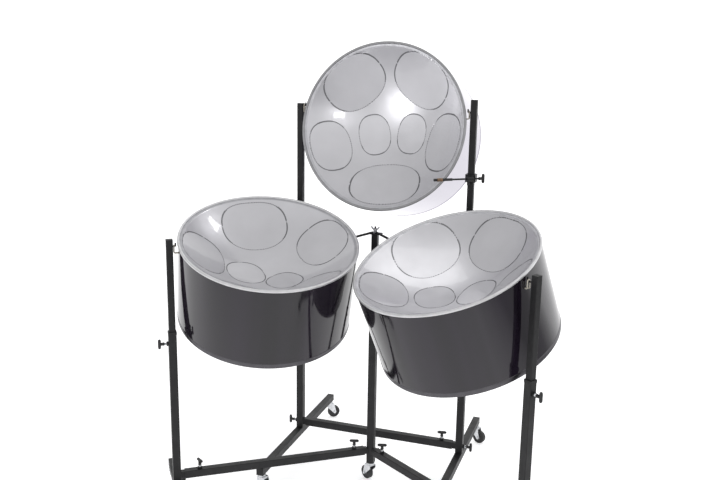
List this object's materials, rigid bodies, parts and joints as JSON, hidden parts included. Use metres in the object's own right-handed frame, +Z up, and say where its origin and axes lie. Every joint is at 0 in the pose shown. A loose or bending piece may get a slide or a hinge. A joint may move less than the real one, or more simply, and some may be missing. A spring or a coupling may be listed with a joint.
{
  "type": "steel pan",
  "caption": "Set of steel pans: drums with hammered concave faces and deep bright skirts, hung by cords on a wheeled telescopic stand of square tube.",
  "frame": {"origin": "on the floor, under the middle of the set's overall box", "axes": "+Z up, -Y towards the player, +X to the right as seen by the player"},
  "size_m": [1.3384, 1.0514, 1.5148],
  "materials": {
    "pan_face": "satin nickel plate on hammered sheet steel",
    "skirt_chrome": "mirror-bright dark chrome plate",
    "stand_black": "fine-textured black powder coat on square steel tube",
    "bracket_black": "semi-gloss black on steel",
    "stop_rod": "black steel rod with rubber covers, one of them brown",
    "knob_black": "moulded black cross heads on zinc studs",
    "wing_nut_zinc": "bright zinc",
    "caster_zinc": "bright zinc plate",
    "caster_wheel": "hard black rubber tread",
    "cord": "braided cord"
  },
  "bodies": {
    "base": {"front_bar_left": "stand_black", "outer_post_front_left": "stand_black", "front_foot_left": "stand_black", "front_bar_right": "stand_black", "outer_post_front_right": "stand_black", "front_foot_right": "stand_black", "outer_post_centre": "stand_black", "rear_crossbar": "stand_black", "outer_post_rear_left": "stand_black", "rear_foot_left": "stand_black", "outer_post_rear_right": "stand_black", "rear_foot_right": "stand_black"},
    "centre_inner": {"inner_post_centre": "stand_black", "centre_bracket": "bracket_black"},
    "front_left_inner": {"inner_post_front_left": "stand_black"},
    "front_right_inner": {"inner_post_front_right": "stand_black"},
    "rear_right_inner": {"inner_post_rear_right": "stand_black"},
    "rear_left_inner": {"inner_post_rear_left": "stand_black"},
    "left_drum": {"pan_left": "pan_face", "skirt_left": "skirt_chrome", "cord_loops_left": "cord"},
    "right_drum": {"pan_right": "pan_face", "skirt_right": "skirt_chrome", "cord_loops_right": "cord"},
    "rear_drum": {"pan_rear": "pan_face", "skirt_rear": "skirt_chrome", "cord_loops_rear": "cord"},
    "clamp": {"tilt_clamp": "bracket_black"},
    "stop_rod": {"tilt_stop_rod": "stop_rod"},
    "wing_nut_body": {"wing_nut": "wing_nut_zinc"},
    "t_bolt_centre_height_body": {"t_bolt_centre_height": "knob_black"},
    "t_bolt_bar_left_inner_body": {"t_bolt_bar_left_inner": "knob_black"},
    "t_bolt_bar_left_outer_body": {"t_bolt_bar_left_outer": "knob_black"},
    "t_bolt_front_left_height_body": {"t_bolt_front_left_height": "knob_black"},
    "t_bolt_bar_right_inner_body": {"t_bolt_bar_right_inner": "knob_black"},
    "t_bolt_bar_right_outer_body": {"t_bolt_bar_right_outer": "knob_black"},
    "t_bolt_front_right_height_body": {"t_bolt_front_right_height": "knob_black"},
    "t_bolt_crossbar_body": {"t_bolt_crossbar": "knob_black"},
    "t_bolt_rear_left_side_body": {"t_bolt_rear_left_side": "knob_black"},
    "t_bolt_rear_left_height_body": {"t_bolt_rear_left_height": "knob_black"},
    "t_bolt_rear_right_side_body": {"t_bolt_rear_right_side": "knob_black"},
    "t_bolt_rear_right_height_body": {"t_bolt_rear_right_height": "knob_black"},
    "swivel_centre": {"caster_fork_centre": "caster_zinc"},
    "wheel_centre": {"caster_wheel_centre": "caster_wheel"},
    "swivel_front_foot_left_front": {"caster_fork_front_foot_left_front": "caster_zinc"},
    "wheel_front_foot_left_front": {"caster_wheel_front_foot_left_front": "caster_wheel"},
    "swivel_front_foot_left_back": {"caster_fork_front_foot_left_back": "caster_zinc"},
    "wheel_front_foot_left_back": {"caster_wheel_front_foot_left_back": "caster_wheel"},
    "swivel_front_foot_right_front": {"caster_fork_front_foot_right_front": "caster_zinc"},
    "wheel_front_foot_right_front": {"caster_wheel_front_foot_right_front": "caster_wheel"},
    "swivel_front_foot_right_back": {"caster_fork_front_foot_right_back": "caster_zinc"},
    "wheel_front_foot_right_back": {"caster_wheel_front_foot_right_back": "caster_wheel"},
    "swivel_rear_foot_left_front": {"caster_fork_rear_foot_left_front": "caster_zinc"},
    "wheel_rear_foot_left_front": {"caster_wheel_rear_foot_left_front": "caster_wheel"},
    "swivel_rear_foot_left_back": {"caster_fork_rear_foot_left_back": "caster_zinc"},
    "wheel_rear_foot_left_back": {"caster_wheel_rear_foot_left_back": "caster_wheel"},
    "swivel_rear_foot_right_front": {"caster_fork_rear_foot_right_front": "caster_zinc"},
    "wheel_rear_foot_right_front": {"caster_wheel_rear_foot_right_front": "caster_wheel"},
    "swivel_rear_foot_right_back": {"caster_fork_rear_foot_right_back": "caster_zinc"},
    "wheel_rear_foot_right_back": {"caster_wheel_rear_foot_right_back": "caster_wheel"}
  },
  "joints": [
    {"name": "front_height", "type": "slide", "parent": "base", "child": "centre_inner", "axis": [0, 0, 1], "range_m": [-0.2, 0.04]},
    {"name": "rear_height", "type": "slide", "parent": "base", "child": "rear_right_inner", "axis": [0, 0, 1], "range_m": [-0.04, 0.2]},
    {"name": "left_drum_swing", "type": "hinge", "parent": "front_left_inner", "child": "left_drum", "pos_m": [-0.31212, -0.1663, 0.886], "axis": [0.8181, 0.575, 0], "range_deg": [-10, 6]},
    {"name": "right_drum_swing", "type": "hinge", "parent": "front_right_inner", "child": "right_drum", "pos_m": [0.30108, -0.17752, 0.886], "axis": [0.8181, -0.575, 0], "range_deg": [-10, 5]},
    {"name": "rear_drum_tilt", "type": "hinge", "parent": "rear_right_inner", "child": "rear_drum", "pos_m": [-0.03027, 0.18092, 1.292], "axis": [0.9998, -0.0192, 0], "range_deg": [0, 15]},
    {"name": "tilt_clamp_slide", "type": "slide", "parent": "rear_right_inner", "child": "clamp", "axis": [0, 0, -1], "range_m": [0, 0.12]},
    {"name": "stop_rod_turn", "type": "hinge", "parent": "clamp", "child": "stop_rod", "pos_m": [0.27461, 0.15056, 1.078], "axis": [-0.8222, -0.5692, 0], "continuous": true},
    {"name": "front_left_height", "type": "slide", "parent": "base", "child": "front_left_inner", "axis": [0, 0, 1], "range_m": [-0.2, 0.04]},
    {"name": "front_right_height", "type": "slide", "parent": "base", "child": "front_right_inner", "axis": [0, 0, 1], "range_m": [-0.2, 0.04]},
    {"name": "rear_left_height", "type": "slide", "parent": "base", "child": "rear_left_inner", "axis": [0, 0, 1], "range_m": [-0.04, 0.2]},
    {"name": "wing_nut_turn", "type": "hinge", "parent": "centre_inner", "child": "wing_nut_body", "pos_m": [-0.0135, 0.04357, 0.8973], "axis": [0, 0, 1], "range_deg": [0, 360]},
    {"name": "t_bolt_centre_height_turn", "type": "hinge", "parent": "base", "child": "t_bolt_centre_height_body", "pos_m": [-0.01326, 0.05627, 0.571], "axis": [0.0192, 0.9998, 0], "range_deg": [0, 360]},
    {"name": "t_bolt_bar_left_inner_turn", "type": "hinge", "parent": "base", "child": "t_bolt_bar_left_inner_body", "pos_m": [-0.06423, 0.00792, 0.1288], "axis": [0, 0, 1], "range_deg": [0, 360]},
    {"name": "t_bolt_bar_left_outer_turn", "type": "hinge", "parent": "base", "child": "t_bolt_bar_left_outer_body", "pos_m": [-0.50087, -0.29896, 0.1288], "axis": [0, 0, 1], "range_deg": [0, 360]},
    {"name": "t_bolt_front_left_height_turn", "type": "hinge", "parent": "base", "child": "t_bolt_front_left_height_body", "pos_m": [-0.57287, -0.34956, 0.571], "axis": [-0.8181, -0.575, 0], "range_deg": [0, 360]},
    {"name": "t_bolt_bar_right_inner_turn", "type": "hinge", "parent": "base", "child": "t_bolt_bar_right_inner_body", "pos_m": [0.03723, 0.00792, 0.1288], "axis": [0, 0, 1], "range_deg": [0, 360]},
    {"name": "t_bolt_bar_right_outer_turn", "type": "hinge", "parent": "base", "child": "t_bolt_bar_right_outer_body", "pos_m": [0.47387, -0.29896, 0.1288], "axis": [0, 0, 1], "range_deg": [0, 360]},
    {"name": "t_bolt_front_right_height_turn", "type": "hinge", "parent": "base", "child": "t_bolt_front_right_height_body", "pos_m": [0.57287, -0.36853, 0.571], "axis": [0.8181, -0.575, 0], "range_deg": [0, 360]},
    {"name": "t_bolt_crossbar_turn", "type": "hinge", "parent": "base", "child": "t_bolt_crossbar_body", "pos_m": [0.21009, 0.1763, 0.1288], "axis": [0, 0, 1], "range_deg": [0, 360]},
    {"name": "t_bolt_rear_left_side_turn", "type": "hinge", "parent": "base", "child": "t_bolt_rear_left_side_body", "pos_m": [-0.34631, 0.18699, 0.1161], "axis": [-0.9998, 0.0192, 0], "range_deg": [0, 360]},
    {"name": "t_bolt_rear_left_height_turn", "type": "hinge", "parent": "base", "child": "t_bolt_rear_left_height_body", "pos_m": [-0.34631, 0.18699, 0.571], "axis": [-0.9998, 0.0192, 0], "range_deg": [0, 360]},
    {"name": "t_bolt_rear_right_side_turn", "type": "hinge", "parent": "base", "child": "t_bolt_rear_right_side_body", "pos_m": [0.28778, 0.17481, 0.1161], "axis": [0.9998, -0.0192, 0], "range_deg": [0, 360]},
    {"name": "t_bolt_rear_right_height_turn", "type": "hinge", "parent": "base", "child": "t_bolt_rear_right_height_body", "pos_m": [0.28778, 0.17481, 0.571], "axis": [0.9998, -0.0192, 0], "range_deg": [0, 360]},
    {"name": "swivel_centre", "type": "hinge", "parent": "base", "child": "swivel_centre", "pos_m": [-0.0135, 0.04357, 0.068], "axis": [0, 0, 1], "continuous": true},
    {"name": "spin_centre", "type": "hinge", "parent": "swivel_centre", "child": "wheel_centre", "pos_m": [-0.02906, 0.05447, 0.024], "axis": [-0.5736, -0.8192, 0], "continuous": true},
    {"name": "swivel_front_foot_left_front", "type": "hinge", "parent": "base", "child": "swivel_front_foot_left_front", "pos_m": [-0.47623, -0.46498, 0.068], "axis": [0, 0, 1], "continuous": true},
    {"name": "spin_front_foot_left_front", "type": "hinge", "parent": "swivel_front_foot_left_front", "child": "wheel_front_foot_left_front", "pos_m": [-0.46673, -0.48143, 0.024], "axis": [0.866, 0.5, 0], "continuous": true},
    {"name": "swivel_front_foot_left_back", "type": "hinge", "parent": "base", "child": "swivel_front_foot_left_back", "pos_m": [-0.64873, -0.21953, 0.068], "axis": [0, 0, 1], "continuous": true},
    {"name": "spin_front_foot_left_back", "type": "hinge", "parent": "swivel_front_foot_left_back", "child": "wheel_front_foot_left_back", "pos_m": [-0.63316, -0.20864, 0.024], "axis": [-0.5736, 0.8192, 0], "continuous": true},
    {"name": "swivel_front_foot_right_front", "type": "hinge", "parent": "base", "child": "swivel_front_foot_right_front", "pos_m": [0.47623, -0.48395, 0.068], "axis": [0, 0, 1], "continuous": true},
    {"name": "spin_front_foot_right_front", "type": "hinge", "parent": "swivel_front_foot_right_front", "child": "wheel_front_foot_right_front", "pos_m": [0.4682, -0.50117, 0.024], "axis": [0.9063, -0.4226, 0], "continuous": true},
    {"name": "swivel_front_foot_right_back", "type": "hinge", "parent": "base", "child": "swivel_front_foot_right_back", "pos_m": [0.64873, -0.23851, 0.068], "axis": [0, 0, 1], "continuous": true},
    {"name": "spin_front_foot_right_back", "type": "hinge", "parent": "swivel_front_foot_right_back", "child": "wheel_front_foot_right_back", "pos_m": [0.63417, -0.2263, 0.024], "axis": [-0.6428, -0.766, 0], "continuous": true},
    {"name": "swivel_rear_foot_left_front", "type": "hinge", "parent": "base", "child": "swivel_rear_foot_left_front", "pos_m": [-0.34026, -0.15945, 0.068], "axis": [0, 0, 1], "continuous": true},
    {"name": "spin_rear_foot_left_front", "type": "hinge", "parent": "swivel_rear_foot_left_front", "child": "wheel_rear_foot_left_front", "pos_m": [-0.3219, -0.16436, 0.024], "axis": [0.2588, 0.9659, 0], "continuous": true},
    {"name": "swivel_rear_foot_left_back", "type": "hinge", "parent": "base", "child": "swivel_rear_foot_left_back", "pos_m": [-0.32774, 0.49243, 0.068], "axis": [0, 0, 1], "continuous": true},
    {"name": "spin_rear_foot_left_back", "type": "hinge", "parent": "swivel_rear_foot_left_back", "child": "wheel_rear_foot_left_back", "pos_m": [-0.31319, 0.50465, 0.024], "axis": [-0.6428, 0.766, 0], "continuous": true},
    {"name": "swivel_rear_foot_right_front", "type": "hinge", "parent": "base", "child": "swivel_rear_foot_right_front", "pos_m": [0.26926, -0.1278, 0.068], "axis": [0, 0, 1], "continuous": true},
    {"name": "spin_rear_foot_right_front", "type": "hinge", "parent": "swivel_rear_foot_right_front", "child": "wheel_rear_foot_right_front", "pos_m": [0.28712, -0.13429, 0.024], "axis": [0.342, 0.9397, 0], "continuous": true},
    {"name": "swivel_rear_foot_right_back", "type": "hinge", "parent": "base", "child": "swivel_rear_foot_right_back", "pos_m": [0.28076, 0.47109, 0.068], "axis": [0, 0, 1], "continuous": true},
    {"name": "spin_rear_foot_right_back", "type": "hinge", "parent": "swivel_rear_foot_right_back", "child": "wheel_rear_foot_right_back", "pos_m": [0.29862, 0.46459, 0.024], "axis": [0.342, 0.9397, 0], "continuous": true}
  ],
  "couplings": [
    {"joint": "front_left_height", "follows": "front_height", "ratio": 1},
    {"joint": "front_right_height", "follows": "front_height", "ratio": 1},
    {"joint": "rear_left_height", "follows": "rear_height", "ratio": 1}
  ]
}
